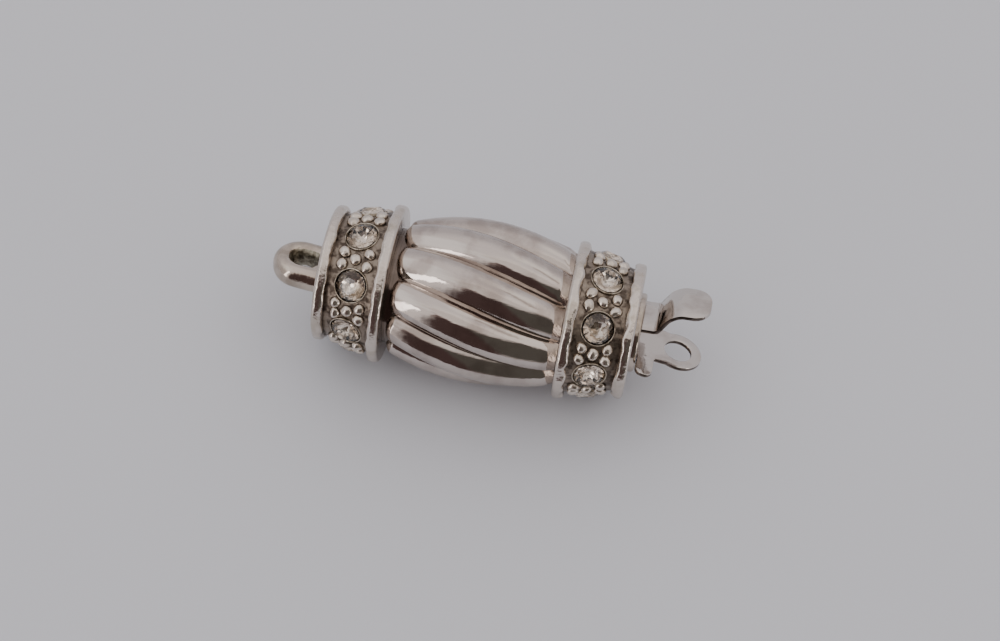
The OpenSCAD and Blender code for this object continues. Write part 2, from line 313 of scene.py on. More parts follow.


# Plated relief that fingers reach only in part: dull olive-brown with dark pits in its hollows, partly
# tarnish and partly painted shade, and the bare gleam of the metal on what stands up
@dataclass(frozen=True)
class BandPlate:
    """Plate over cast relief: bright on what stands up, olive-brown in what lies deep, as tarnish and painted
    shade.
    """

    name: str = "rhodium_plate_tarnished"
    bright: str = "#D6CCC3"
    worn: str = "#B5AB9B"
    deep: str = "#92867A"
    pit: str = "#40352E"
    tarnish_and_shade_to_mm: float = 0.02
    bright_from_mm: float = 0.26
    dirt_mm: float = 0.5
    dirt_and_shade_lifts_mm: float = 0.4
    dirt_dulls: float = 0.08
    polish: float = 0.15
    dulled: float = 0.36
    ground_large_r: float = 5.4
    ground_small_r: float = 4.62
    x_large: float = 7.45
    x_small: float = 11.0
    rim_inside_mm: float = 0.03
    rim_outside_mm: float = 0.12
    wear_mm: float = 1.1
    pits_mm: float = 0.55
    skin_mm: float = 0.3
    skin_depth_mm: float = 0.03
    lumps_mm: float = 0.9
    lumps_depth_mm: float = 0.09

    def make(self) -> Material:
        """Builds the material, with the height above the band's tapered ground as its guide for tarnish and
        painted shade.

        Returns:
            The plate, with bright rims and a ground that is brown and pitted, partly tarnish and partly
            painted shade.
        """
        s = Shader(self.name)
        along, radius = s.cylindrical()
        along = s.add("Math", (along,), operation="ABSOLUTE")
        slope = (self.ground_large_r - self.ground_small_r) / (self.x_small - self.x_large)
        dirt_and_shade = s.add("TexNoise", s.spread(self.dirt_mm, 5.0))
        height = s.add("Math", (along, slope, radius), operation="MULTIPLY_ADD")
        height = s.add("Math", (dirt_and_shade, self.dirt_and_shade_lifts_mm * MM, height), operation="MULTIPLY_ADD")
        ground_r = self.ground_large_r + slope * self.x_large + self.dirt_and_shade_lifts_mm / 2.0
        low, high = ((ground_r + level) * MM for level in (self.tarnish_and_shade_to_mm, self.bright_from_mm))
        # Painted shade with some tarnish: what lies low over the ground takes the dark ground colour, the
        # grains' lower halves too
        shine = s.add("MapRange", (height, low, high, 0.0, 1.0), **SOFT)
        for low, high, first in (
            (self.x_large - self.rim_outside_mm, self.x_large + self.rim_inside_mm, 1.0),
            (self.x_small - self.rim_inside_mm, self.x_small + self.rim_outside_mm, 0.0),
        ):
            rim = s.add("MapRange", (along, low * MM, high * MM, first, 1.0 - first), **SOFT)
            shine = s.add("Math", (shine, rim), operation="MAXIMUM")
        top = s.mottled(self.bright, self.worn, self.wear_mm, 3.0, (0.45, 0.7, 0.6))
        ground = s.mottled(self.deep, self.pit, self.pits_mm, 4.0, (0.42, 0.62, 0.85))
        polish = s.add("MapRange", (shine, 0.0, 1.0, self.dulled, self.polish), **SOFT)
        lumps = s.relief(self.lumps_mm, 2.0, self.lumps_depth_mm)
        return s.finish(
            {
                "Base Color": s.add("Mix", {0: shine, 6: ground, 7: top}, **COLOURS),
                "Metallic": 1.0,
                "Roughness": s.add("Math", (dirt_and_shade, self.dirt_dulls, polish), operation="MULTIPLY_ADD"),
                "Normal": s.relief(self.skin_mm, 3.0, self.skin_depth_mm, over=lumps),
            }
        )


# Shears, drills and setting tools leave fine marks that plating doesn't fill, so nothing mirrors clearly here
@dataclass(frozen=True)
class CutEdge:
    """Plate over a surface that was never polished: sheared edges, the loop's hole or the stones' cups; on
    the sheet's edges its dark tone is also painted shade.
    """

    name: str = "rhodium_plate_cut_edge"
    tone: str = "#7C726B"
    dull: str = "#4A423C"
    roughness: float = 0.3
    marks_mm: float = 0.12
    marks_depth_mm: float = 0.012
    patches_mm: float = 0.6

    def make(self) -> Material:
        """Builds the material.

        Returns:
            The plate, darker in patches, with fine marks.
        """
        s = Shader(self.name)
        return s.finish(
            {
                "Base Color": s.mottled(self.tone, self.dull, self.patches_mm, 3.0, (0.4, 0.65, 1.0)),
                "Metallic": 1.0,
                "Roughness": self.roughness,
                "Normal": s.relief(self.marks_mm, 3.0, self.marks_depth_mm),
            }
        )


# Pressed and fire-polished lead glass: sharp clear facets that break up the light from the foil
@dataclass(frozen=True)
class StoneGlass:
    """Clear cut glass, very faintly straw coloured, as old foiled stones are."""

    name: str = "cut_glass_clear"
    tint: str = "#F8F4EE"
    haze: float = 0.04
    haze_mm: float = 0.4

    def make(self) -> Material:
        """Builds the material.

        Returns:
            The glass, with a trace of haze in patches.
        """
        s = Shader(self.name)
        cloud = s.add("TexNoise", s.spread(self.haze_mm, 4.0))
        return s.finish(
            {
                "Base Color": linear(self.tint),
                "Roughness": s.add("MapRange", (cloud, 0.55, 0.75, 0.0, self.haze), **SOFT),
                "IOR": 1.54,
                "Transmission Weight": 1.0,
            }
        )


# Silver foil under lacquer: it mirrors through the glass, and where damp got in it has greyed, facet by facet
@dataclass(frozen=True)
class Foil:
    """Silver foil behind a stone, with patches that have aged to a warm grey."""

    name: str = "stone_foil_aged"
    fresh: str = "#F0E8E0"
    aged: str = "#A3988B"
    specks_mm: float = 0.7
    roughness: float = 0.1

    def make(self) -> Material:
        """Builds the material.

        Returns:
            The foil, with aged patches.
        """
        s = Shader(self.name)
        colour = s.mottled(self.fresh, self.aged, self.specks_mm, 4.0, (0.44, 0.6, 1.0))
        return s.finish({"Base Color": colour, "Metallic": 1.0, "Roughness": self.roughness})


# A plain matt surface, which mirrors nothing
@dataclass(frozen=True)
class PaleFloor:
    """Plain pale floor."""

    name: str = "floor_pale"
    tone: str = "#E3E6EE"

    def make(self) -> Material:
        """Builds the material."""
        return Shader(self.name).finish({"Base Color": linear(self.tone), "Roughness": 0.75})


class Finishes:
    """The clasp's materials, each built once."""

    def __init__(self) -> None:
        """Builds the materials."""
        self.fluted = FlutedPlate().make()
        self.cast = BrightPlate("rhodium_plate_cast", "#CBBFB3", "#A79B8E", 0.09, 0.9, 0.03).make()
        self.sheet = BrightPlate("rhodium_plate_spring", "#D3CCC6", "#BFB6AF", 0.09, 3.2, 0.02).make()
        # The sheet's cut edges are much darker than its faces: painted shade along the edges, over duller
        # metal
        self.edge = CutEdge().make()
        # The inside of the loop's hole is a dull grey-green, darker in patches
        self.hole = CutEdge("rhodium_plate_dull_hole", "#A8A393", "#5B5447", 0.42, 0.35, 0.07).make()
        self.band = BandPlate().make()
        # The grains' lower halves take the dark ground colour: painted shade where they meet the ground, with
        # some tarnish
        self.grain = BandPlate(
            name="rhodium_plate_grains",
            bright="#DCD2C7",
            worn="#C2B6A7",
            deep="#7E7363",
            tarnish_and_shade_to_mm=-0.04,
            bright_from_mm=0.24,
            polish=0.2,
        ).make()
        self.cup = CutEdge("rhodium_plate_cup", "#BDB3A5", "#857A6B", 0.25, 0.3, 0.02).make()
        self.glass = StoneGlass().make()
        self.foil = Foil().make()


def sharpen(bm: Mesh, degrees: float) -> None:
    """Shades a mesh smooth, apart from edges that turn by more than an angle.

    Args:
        bm: The mesh.
        degrees: The angle.
    """
    limit = math.radians(degrees)
    for face in bm.faces:
        face.smooth = True
    for edge in bm.edges:
        edge.smooth = len(edge.link_faces) == 2 and edge.calc_face_angle(0.0) < limit


def move(bm: Mesh, matrix: Matrix) -> None:
    """Applies a matrix to a whole mesh."""
    bmesh.ops.transform(bm, matrix=matrix, verts=bm.verts)


def paint(bm: Mesh, index: int, chosen: Callable[[Face], bool] = lambda face: True) -> None:
    """Gives the chosen faces of a mesh one of the piece's materials."""
    for face in filter(chosen, bm.faces):
        face.material_index = index


def as_object(bm: Mesh, name: str, materials: Sequence[Material] = ()) -> bpy.types.Object:
    """Makes an object of a mesh, at the origin.

    Args:
        bm: The mesh; it is freed.
        name: The object's name.
        materials: Materials, in the order of the faces' indices.

    Returns:
        The new object, in the scene.
    """
    mesh = bpy.data.meshes.new(name)
    bm.to_mesh(mesh)
    bm.free()
    for material in materials:
        mesh.materials.append(material)
    return show(bpy.data.objects.new(name, mesh))


def show(obj: bpy.types.Object) -> bpy.types.Object:
    """Puts a new object into the scene and returns it."""
    bpy.context.scene.collection.objects.link(obj)
    return obj


def add_piece(
    bm: Mesh,
    name: str,
    body: Body,
    materials: Sequence[Material],
    replaces: Sequence[str],
    crease: float = 32.0,
) -> None:
    """Turns a mesh drawn along the barrel's axis into a finished piece of the clasp.

    Args:
        bm: Mesh in millimetres; it is freed.
        name: The piece's name.
        body: The rigid body that it rides on.
        materials: Materials, in the order of the faces' indices.
        replaces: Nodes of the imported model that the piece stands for.
        crease: Angle above which an edge is shaded sharp; 0 leaves every face flat.
    """
    bmesh.ops.remove_doubles(bm, verts=bm.verts, dist=WELD_MM)
    bmesh.ops.recalc_face_normals(bm, faces=bm.faces)
    if crease:
        sharpen(bm, crease)
    move(bm, LYING)
    piece = as_object(bm, name, materials)
    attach(piece, body.value)
    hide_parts(*replaces)
    log.info("%s: %d faces", name, len(piece.data.polygons))


def join(target: Mesh, part: Mesh) -> None:
    """Adds one mesh to another.

    Args:
        target: Mesh that grows.
        part: Mesh to add; it is freed.
    """
    scratch = bpy.data.meshes.new("part")
    part.to_mesh(scratch)
    part.free()
    target.from_mesh(scratch)
    bpy.data.meshes.remove(scratch)


def cut(solid: Mesh, tools: Mesh) -> Mesh:
    """Takes one closed mesh away from another.

    Args:
        solid: Mesh to cut; it is freed.
        tools: Closed shells to take away; they are freed.

    Returns:
        The cut mesh.
    """
    objects = []
    for bm in (solid, tools):
        bmesh.ops.recalc_face_normals(bm, faces=bm.faces)
        objects.append(as_object(bm, "cutting"))
    modifier = objects[0].modifiers.new("cut", "BOOLEAN")
    modifier.operation = "DIFFERENCE"
    modifier.solver = "EXACT"
    modifier.object = objects[1]
    depsgraph = bpy.context.evaluated_depsgraph_get()
    result = bmesh.new()
    result.from_mesh(objects[0].evaluated_get(depsgraph).to_mesh())
    for obj in objects:
        mesh = obj.data
        bpy.data.objects.remove(obj)
        bpy.data.meshes.remove(mesh)
    return result


def lathe(points: Iterable[tuple[float, float]], steps: int, closed: bool = True) -> Mesh:
    """Turns a profile once round the X axis.

    Args:
        points: Profile as place along the axis and radius, in order.
        steps: Number of steps of the full turn.
        closed: Whether the profile's last point joins its first.

    Returns:
        The turned mesh.
    """
    bm = bmesh.new()
    verts = [bm.verts.new((x, 0.0, r)) for x, r in points]
    pairs = list(zip(verts, verts[1:])) + ([(verts[-1], verts[0])] if closed else [])
    edges = [bm.edges.new(pair) for pair in pairs]
    bmesh.ops.spin(
        bm, geom=verts + edges, cent=(0, 0, 0), axis=(1, 0, 0), angle=math.tau, steps=steps, use_merge=True
    )
    bmesh.ops.remove_doubles(bm, verts=bm.verts, dist=WELD_MM)
    return bm


def corner(x: float, r: float, radius: float, start: float, steps: int = 7) -> list[tuple[float, float]]:
    """Quarter round of a profile.

    Args:
        x: Place of the round's centre along the axis.
        r: Radius at which the centre lies.
        radius: Radius of the round.
        start: Angle at which it begins, in degrees from the X axis; it turns clockwise.
        steps: Number of its steps.

    Returns:
        Points of the round, in order.
    """
    angles = [math.radians(start - 90.0 * i / steps) for i in range(steps + 1)]
    return [(x + radius * math.cos(a), r + radius * math.sin(a)) for a in angles]


@dataclass
class Part:
    """A sub-assembly of the clasp, dressed in the shared finishes."""

    finishes: Finishes


@dataclass
class FlutedBarrel(Part):
    """The fat middle: rounded, slightly twisted lobes between two plain necks."""

    lobes: int = 10
    crest_r: float = 6.235
    bow_r: float = 18.0
    belly_x: float = 0.4
    groove_share: float = 0.15
    lobe_round: float = 0.8
    twist: float = 2.55
    first_groove: float = -13.4
    left: float = -6.25
    right: float = 6.54
    tip_len: float = 0.45
    left_recede: float = 0.45
    right_share: float = 0.8
    bevel_len: float = 0.65
    neck_r: float = 4.35
    spigot_r: float = 4.24
    bore_r: float = 3.75
    neck_x: float = 6.58
    spigot_x: float = 7.55
    groove_h: float = 0.14
    root_h: float = 0.06
    root_gap: float = 0.02
    columns: int = 32
    tip_rows: int = 22
    middle_rows: int = 44

    def crest(self, x: float) -> float:
        """Radius of the crests at a place along the axis."""
        return self.crest_r - (self.bow_r - math.sqrt(self.bow_r**2 - (x - self.belly_x) ** 2))

    def rise(self, u: float) -> float:
        """Rounded rise from 0 to 1."""
        return math.sqrt(1.0 - (1.0 - min(max(u, 0.0), 1.0)) ** 2)

    def sag(self, t: float) -> float:
        """Fall of a lobe's back from its crest, at 0, towards the groove, at 1."""
        return 1.0 - math.sqrt(1.0 - (self.lobe_round * t) ** 2)

    def bevel(self, u: float) -> float:
        """Slope up from the right end, with its upper corner rounded.

        Args:
            u: Distance from the end, as a share of the bevel's length.

        Returns:
            Share of the lobe's full height.
        """
        soft = 0.18
        held = min(u, 1.0) if abs(u - 1.0) > soft else 1.0 - (1.0 + soft - u) ** 2 / (4.0 * soft)
        return self.right_share + (1.0 - self.right_share) * held

    def radius(self, x: float, angle: float) -> float:
        """Radius of the lobes' skin.

        Args:
            x: Place along the axis.
            angle: Angle from the nearest crest, in degrees.

        Returns:
            The radius, which stays a little above the neck's.
        """
        share = 2.0 * angle * self.lobes / 360.0
        depth = self.groove_share * self.sag(share) / self.sag(1.0)
        back = max(self.crest(x) * (1.0 - depth), self.neck_r + self.groove_h)
        left = self.rise((x - self.left - self.left_recede * share**2) / self.tip_len)
        right = self.bevel((self.right - x) / self.bevel_len)
        root = self.neck_r + self.root_h
        return root + (back - root) * min(left, right)

    def places(self) -> list[float]:
        """Places of the sections along the axis.

        Returns:
            The places, from left to right, close together at both tips.
        """
        tip = [0.025 * i + 0.0012 * i * i for i in range(self.tip_rows)]
        start, end = self.left + tip[-1], self.right - tip[-1]
        middle = [start + (end - start) * i / self.middle_rows for i in range(1, self.middle_rows)]
        return [self.left + s for s in tip] + middle + [self.right - s for s in reversed(tip)]

    def build(self) -> None:
        """Turns the profile, then pulls its skin in to the lobes."""
        skin_r = 1.5 * self.crest_r
        profile = [(-self.spigot_x, self.bore_r), (-self.spigot_x, self.spigot_r)]
        profile += [(-self.neck_x, self.spigot_r), (-self.neck_x, self.neck_r)]
        profile += [(self.left - self.root_gap, self.neck_r)] + [(x, skin_r) for x in self.places()]
        profile += [(self.right + self.root_gap / 2.0, self.neck_r), (self.neck_x, self.neck_r)]
        profile += [(self.neck_x, self.spigot_r), (self.spigot_x, self.spigot_r)]
        profile += [(self.spigot_x, self.bore_r)]
        bm = lathe(profile, self.lobes * self.columns)
        pitch = 360.0 / self.lobes
        for vert in bm.verts:
            x, y, z = vert.co
            column = math.degrees(math.atan2(-y, z))
            reach = math.hypot(y, z)
            if reach > self.crest_r:
                reach = self.radius(x, (column % pitch) - pitch / 2.0)
            turn = math.radians(column + self.first_groove + self.twist * x)
            vert.co = (x, -reach * math.sin(turn), reach * math.cos(turn))
        coats = [self.finishes.fluted]
        add_piece(bm, "barrel_lobes", Body.CASE, coats, ["fluted_barrel"], crease=40.0)


@dataclass
class Stone:
    """A round cut stone in its own frame, with Z out of the band and the band's ground at 0."""

    girdle_r: float = 1.12
    table_r: float = 0.64
    table_h: float = 0.44
    girdle_h: float = 0.05
    girdle_t: float = 0.07
    culet_r: float = 0.14
    culet_h: float = -0.69
    star_out: float = 0.03
    star_share: float = 0.56

    def build(self) -> Mesh:
        """Wraps facets round the table, star, girdle and culet rings.

        Returns:
            The stone, with material 0 on its crown and 1 on its foiled back.
        """
        bm = bmesh.new()
        star_r = (self.table_r + self.girdle_r) / 2.0 + self.star_out
        star_h = self.girdle_h + (self.table_h - self.girdle_h) * self.star_share
        rings = [
            (8, self.table_r, self.table_h, 0.0),
            (8, star_r, star_h, 22.5),
            (16, self.girdle_r, self.girdle_h + self.girdle_t / 2.0, 11.25),
            (16, self.girdle_r, self.girdle_h - self.girdle_t / 2.0, 11.25),
            (8, self.culet_r, self.culet_h, 22.5),
        ]
        for count, radius, height, turn in rings:
            place = shifted(0.0, 0.0, height) @ turned(turn, "Z")
            bmesh.ops.create_circle(bm, segments=count, radius=radius, matrix=place)
        bmesh.ops.delete(bm, geom=list(bm.edges), context="EDGES_FACES")
        bmesh.ops.convex_hull(bm, input=list(bm.verts))
        bmesh.ops.dissolve_limit(bm, angle_limit=math.radians(2.0), verts=bm.verts, edges=bm.edges)
        bmesh.ops.recalc_face_normals(bm, faces=bm.faces)
        back_h = self.girdle_h - self.girdle_t / 4.0
        paint(bm, 1, lambda face: face.calc_center_median().z < back_h)
        return bm


@dataclass
class Band(Part):
    """A tapered band between a large and a small rim, with its cups, grains and stones."""

    side: Side = Side.RIGHT
    first_stone: float = 8.3
    stones: int = 8
    large_r: float = 6.04
    small_r: float = 5.18
    rim_w: float = 0.84
    rim_round: float = 0.3
    rim_gap: float = 0.05
    ground_rows: tuple[float, ...] = (7.7, 10.56)
    large_x: float = 7.03
    small_x: float = 11.42
    ground_large_r: float = 5.4
    ground_small_r: float = 4.62
    bore_r: float = 3.76
    socket_r: float = 4.27
    socket_x: float = 7.61
    plate_r: float = 4.5
    plate_t: float = 0.55
    row_x: float = 9.15
    cup_r: float = 1.2
    cup_wall: float = 0.12
    cup_depth: float = 0.74
    cup_gap: float = 0.02
    cutter_top: float = 0.78
    lip_h: float = 0.05
    skirt_h: float = -0.3
    floor_rise: float = 0.04
    floor_inset: float = 0.06
    grain_r: float = 0.43
    grain_dx: float = 0.97
    grain_turn: float = 5.3
    grain_drift: float = 0.05
    grain_swing: float = 8.0
    grain_dent: float = 0.07
    waver: float = 0.13
    waver_inwards: float = 1.9
    waver_from: float = 0.12
    waver_ramp: float = 0.3
    stone: Stone = field(default_factory=Stone)

    @property
    def inner_x(self) -> float:
        """Face of the large rim beside the barrel."""
        return self.large_x - self.rim_w / 2.0

    @property
    def outer_x(self) -> float:
        """Outer face of the small rim."""
        return self.small_x + self.rim_w / 2.0

    @property
    def ground_from(self) -> float:
        """Place where the large rim ends and the ground begins."""
        return self.large_x + self.rim_w / 2.0

    @property
    def ground_to(self) -> float:
        """Place where the ground ends and the small rim begins."""
        return self.small_x - self.rim_w / 2.0

    @property
    def taper(self) -> float:
        """Slope of the ground, in radians."""
        return math.atan((self.ground_large_r - self.ground_small_r) / (self.ground_to - self.ground_from))

    def ground(self, x: float) -> float:
        """Radius of the ground at a place, counted from the middle of the clasp."""
        return self.ground_large_r - (x - self.ground_from) * math.tan(self.taper)

    def seat(self, x: float, angle: float) -> Matrix:
        """Place on the ground with Z pointing out, on this band's own side of the clasp.

        Args:
            x: Distance from the middle of the clasp.
            angle: Angle from the top towards the front, in degrees.

        Returns:
            The matrix of that place.
        """
        out = shifted(x * self.side.value, 0.0, self.ground(x))
        return turned(angle, "X") @ out @ Matrix.Rotation(self.taper * self.side.value, 4, "Y")

    def stone_seat(self, number: float) -> Matrix:
        """Place of a stone by its number, or of the grains between two stones by a half number."""
        return self.seat(self.row_x, self.first_stone + number * 360.0 / self.stones)

    def ring(self) -> Mesh:
        """Turns the ring and cuts the stones' cups out of its ground.

        Returns:
            The ring, with a round hole where each cup goes in.
        """
        e = self.rim_round
        profile = [(self.inner_x, self.socket_r)]
        profile += corner(self.inner_x + e, self.large_r - e, e, 180.0)
        profile += corner(self.ground_from - e, self.large_r - e, e, 90.0)
        profile += [(x, self.ground(x)) for x in (self.ground_from, *self.ground_rows, self.ground_to)]
        profile += corner(self.ground_to + e, self.small_r - e, e, 180.0)
        profile += corner(self.outer_x - e, self.small_r - e, e, 90.0)
        floor_x = self.outer_x - self.plate_t
        profile += [(self.outer_x, self.plate_r), (floor_x, self.plate_r), (floor_x, self.bore_r)]
        profile += [(self.socket_x, self.bore_r), (self.socket_x, self.socket_r)]
        ring = lathe([(x * self.side.value, r) for x, r in profile], 256)
        self.soften_rims(ring)
        tools = bmesh.new()
        bottom, top = -self.cup_depth - self.cup_gap, self.cutter_top
        radius = self.cup_r + self.cup_wall / 2.0
        for k in range(self.stones):
            bmesh.ops.create_cone(
                tools,
                cap_ends=True,
                segments=48,
                radius1=radius,
                radius2=radius,
                depth=top - bottom,
                matrix=self.stone_seat(k) @ shifted(0.0, 0.0, (top + bottom) / 2.0),
            )
        return cut(ring, tools)

    def soften_rims(self, ring: Mesh) -> None:
        """Gives the rims' edges the slight waver of a casting that was polished by hand.

        Args:
            ring: The turned ring.
        """
        for vert in ring.verts:
            x, y, z = vert.co
            reach = math.hypot(y, z)
            above = reach - self.ground(abs(x)) - self.waver_from
            if above <= 0.0 or self.ground_from + self.rim_gap < abs(x) < self.ground_to - self.rim_gap:
                continue
            # Lumps of about a millimetre, a little longer along the barrel
            spot = Vector((x * 0.7, y, z)) * 1.1
            waver = self.waver * min(above / self.waver_ramp, 1.0)
            lower = waver * (0.5 + 0.6 * noise.noise(spot * 0.7))
            if self.large_x < abs(x) < self.small_x:
                vert.co.x += waver * self.waver_inwards * noise.noise(spot + Vector((7.0, 0.0, 0.0)))
            vert.co.y *= 1.0 - lower / reach
            vert.co.z *= 1.0 - lower / reach

    def cup(self) -> Mesh:
        """Turns one cup: a thin wall with a rounded lip, and a flat floor.

        Returns:
            The cup, with Z out of the band and the band's ground at 0.
        """
        outer, inner, floor_h = self.cup_r + self.cup_wall, self.cup_r, -self.cup_depth
        middle, half = (outer + inner) / 2.0, (outer - inner) / 2.0
        angles = [math.pi * i / 6 for i in range(7)]
        lip = [(self.lip_h - half + half * math.sin(a), middle + half * math.cos(a)) for a in angles]
        profile = [(self.skirt_h, outer)] + lip + [(floor_h + self.floor_rise, inner)]
        profile += [(floor_h, inner - self.floor_inset), (floor_h, 0.0)]
        bm = lathe(profile, 48, closed=False)
        paint(bm, 2)
        move(bm, turned(-90.0, "Y"))
        return bm

    def grains(self) -> Mesh:
        """Casts five grains between each two stones: two, one and two.

        Returns:
            All grains of the band, each a little out of round and out of place.
        """
        bm = bmesh.new()
        rng = random.Random(11 + self.side.value)
        pitch = 360.0 / self.stones
        spots = [(dx * self.grain_dx, turn * self.grain_turn) for dx in (-1, 1) for turn in (-1, 1)]
        for k in range(self.stones):
            between = self.first_stone + (k + 0.5) * pitch
            for dx, turn in spots + [(0.0, 0.0)]:
                drift = rng.uniform(-self.grain_drift, self.grain_drift)
                place = self.seat(self.row_x + dx + drift, between + turn + drift * self.grain_swing)
                place = place @ Matrix.Rotation(rng.uniform(0.0, math.tau), 4, "Z")
                long, wide, high = (rng.uniform(*span) for span in ((1.02, 1.25), (0.96, 1.12), (0.86, 1.0)))
                bmesh.ops.create_uvsphere(
                    bm,
                    u_segments=24,
                    v_segments=14,
                    radius=self.grain_r,
                    matrix=place @ Matrix.Diagonal((long, wide, high, 1.0)),
                )
        paint(bm, 1)
        for vert in bm.verts:
            # Dents of about half a millimetre, so that no two grains are alike
            spot = vert.co * 1.6
            dent = Vector([noise.noise(spot + Vector((k, 0.0, 0.0))) for k in (0.0, 9.0, 18.0)])
            vert.co += dent * self.grain_dent
        return bm

    def build(self) -> None:
        """Builds the band and sets its stones."""
        name = self.side.name.lower()
        band = self.ring()
        for k in range(self.stones):
            cup = self.cup()
            move(cup, self.stone_seat(k))
            join(band, cup)
        join(band, self.grains())
        coats = [self.finishes.band, self.finishes.grain, self.finishes.cup]
        add_piece(band, f"band_{name}", Body.CASE, coats, [f"{name}_band"])
        coats = [self.finishes.glass, self.finishes.foil]
        rng = random.Random(5 + self.side.value)
        for k in range(self.stones):
            stone = self.stone.build()
            turn = Matrix.Rotation(rng.uniform(0.0, math.tau), 4, "Z")
            lean = turned(rng.uniform(-1.5, 1.5), "Y")
            move(stone, self.stone_seat(k) @ turn @ lean)
            piece, node = f"rhinestone_{name}_{k + 1}", f"{name}_stone_{k + 1}"
            add_piece(stone, piece, Body.CASE, coats, [node], crease=0.0)


@dataclass
class EndPlate(Part):
    """A round plate that closes one end of the clasp."""

    plate_r: float = 4.47
    plate_x: float = 11.81
    plate_t: float = 0.49
    plate_edge: float = 0.06

    def profile(self, side: Side) -> list[tuple[float, float]]:
        """Draws the plate's profile, as place along the axis and radius.

        Args:
            side: The side that the plate closes.

        Returns:
            Points from the middle of the inside to the softened edge of the outside.
        """
        inside, edge, r = self.plate_x - self.plate_t, self.plate_edge, self.plate_r
        points = [(inside, 0.0), (inside, r), (self.plate_x - edge, r), (self.plate_x, r - edge)]
        return [(x * side.value, y) for x, y in points]


@dataclass
class LoopEnd(EndPlate):
    """The plate that closes the left end, with its thick cast loop."""

    loop_r: float = 2.05
    loop_t: float = 1.9
    loop_x: float = -13.9
    hole_x: float = -13.5
    hole_r: float = 0.72
    hole_stretch: float = 1.4
    pivot_x: float = -11.84
    lean: float = -6.0
    dull_hole_share: float = 1.36
    into_plate: float = 0.3
    flat_across: float = 0.92
    flat_high: float = 0.8

    def outline(self, angle: float) -> float:
        """Traces the loop's outline, round at its tip and straight beside the plate.

        Args:
            angle: Direction from the hole's middle, counted from the barrel, in radians.

        Returns:
            Distance from the hole's middle to the outline.
        """
        dx, dy = math.cos(angle), math.sin(angle)
        offset = self.hole_x - self.loop_x
        along = -offset * dx + math.sqrt(self.loop_r**2 - (offset * dy) ** 2)
        if self.hole_x + along * dx > self.loop_x:
            side = self.loop_r / max(abs(dy), 1e-6)
            inward = (self.into_plate - self.plate_x - self.hole_x) / max(dx, 1e-6) if dx > 0 else math.inf
            along = min(side, inward)
        return along

    def loop(self) -> Mesh:
        """Bends a ring round the hole and swells it to the loop's outline.

        Returns:
            The loop, with the second material on the inside of its hole.
        """
        bm = bmesh.new()
        ring_r = 2.0
        section = shifted(ring_r, 0.0, 0.0) @ turned(90.0, "X")
        bmesh.ops.create_circle(bm, segments=40, radius=1.0, matrix=section)
        whole = {"cent": (0, 0, 0), "axis": (0, 0, 1), "angle": math.tau, "steps": 96, "use_merge": True}
        bmesh.ops.spin(bm, geom=bm.verts[:] + bm.edges[:], **whole)
        bmesh.ops.remove_doubles(bm, verts=bm.verts, dist=WELD_MM)
        paint(bm, 1, lambda face: face.calc_center_median().xy.length < self.dull_hole_share)
        for vert in bm.verts:
            x, y, z = vert.co
            angle = math.atan2(y, x)
            across = math.hypot(x, y) - ring_r
            outer = self.outline(angle)
            inner = self.hole_r / math.hypot(math.cos(angle) / self.hole_stretch, math.sin(angle))
            share = math.copysign(abs(across) ** self.flat_across, across)
            reach = (outer + inner) / 2.0 + (outer - inner) / 2.0 * share
            height = self.loop_t / 2.0 * math.copysign(abs(z) ** self.flat_high, z)
            vert.co = (self.hole_x + reach * math.cos(angle), reach * math.sin(angle), height)
        place = shifted(self.pivot_x, 0.0, 0.0) @ turned(self.lean, "Z") @ shifted(-self.pivot_x, 0.0, 0.0)
        move(bm, place)
        return bm

    def build(self) -> None:
        """Builds the plate and the loop."""
        bm = lathe(self.profile(Side.LEFT) + [(-self.plate_x, 0.0)], 128, closed=False)
        join(bm, self.loop())
        coats = [self.finishes.cast, self.finishes.hole]
        add_piece(bm, "loop_and_plate", Body.CASE, coats, ["loop_end"], crease=50.0)


@dataclass
class SlottedEnd(EndPlate):
    """The plate that closes the right end, with a round boss and the tongue's slot."""

    boss_r: float = 3.0
    boss_x: float = 12.28
    boss_round: float = 0.22
    slot_x: float = 12.0
    slot_len: float = 4.0
    slot_y: float = 2.1
    slot_low: float = -0.82
    slot_high: float = 1.98

    def build(self) -> None:
        """Turns the plate and boss, and cuts the slot."""
        e = self.boss_round
        profile = self.profile(Side.RIGHT) + [(self.plate_x, self.boss_r)]
        profile += corner(self.boss_x - e, self.boss_r - e, e, 90.0) + [(self.boss_x, 0.0)]
        solid = lathe(profile, 128, closed=False)
        slot = bmesh.new()
        size = Matrix.Diagonal((self.slot_len, 2.0 * self.slot_y, self.slot_high - self.slot_low, 1.0))
        middle = shifted(self.slot_x, 0.0, (self.slot_high + self.slot_low) / 2.0)
        bmesh.ops.create_cube(slot, size=1.0, matrix=middle @ size)
        plate = cut(solid, slot)
        add_piece(plate, "plate_with_slot", Body.CASE, [self.finishes.cast], ["slotted_end"])


def round_edges(bm: Mesh, level_only: bool = False) -> None:
    """Takes the sharpness off the edges of a piece of sheet.

    Args:
        bm: The sheet; its normals are brought up to date afterwards.
        level_only: Whether the edges that run through the sheet's thickness stay sharp.
    """
    edges = [e for e in bm.edges if len(e.link_faces) == 2 and e.calc_face_angle(0.0) > EDGE_TURN]
    if level_only:
        edges = [e for e in edges if abs(e.verts[0].co.z - e.verts[1].co.z) < 1e-4]
    bmesh.ops.bevel(
        bm, geom=edges, offset=EDGE_ROUND_MM, affect="EDGES", segments=2, profile=0.5, material=-1
    )
    bm.normal_update()


@dataclass
class Leaf(Part):
    """One of the folded spring's two leaves, which turn on the bead at the fold."""

    sheet_t: float = 0.32
    fold_x: float = 4.8
    fold_z: float = 1.2642608
    bead_r: float = 0.26

    @property
    def coats(self) -> list[Material]:
        """Materials of the sheet's faces and of its cut edges."""
        return [self.finishes.sheet, self.finishes.edge]


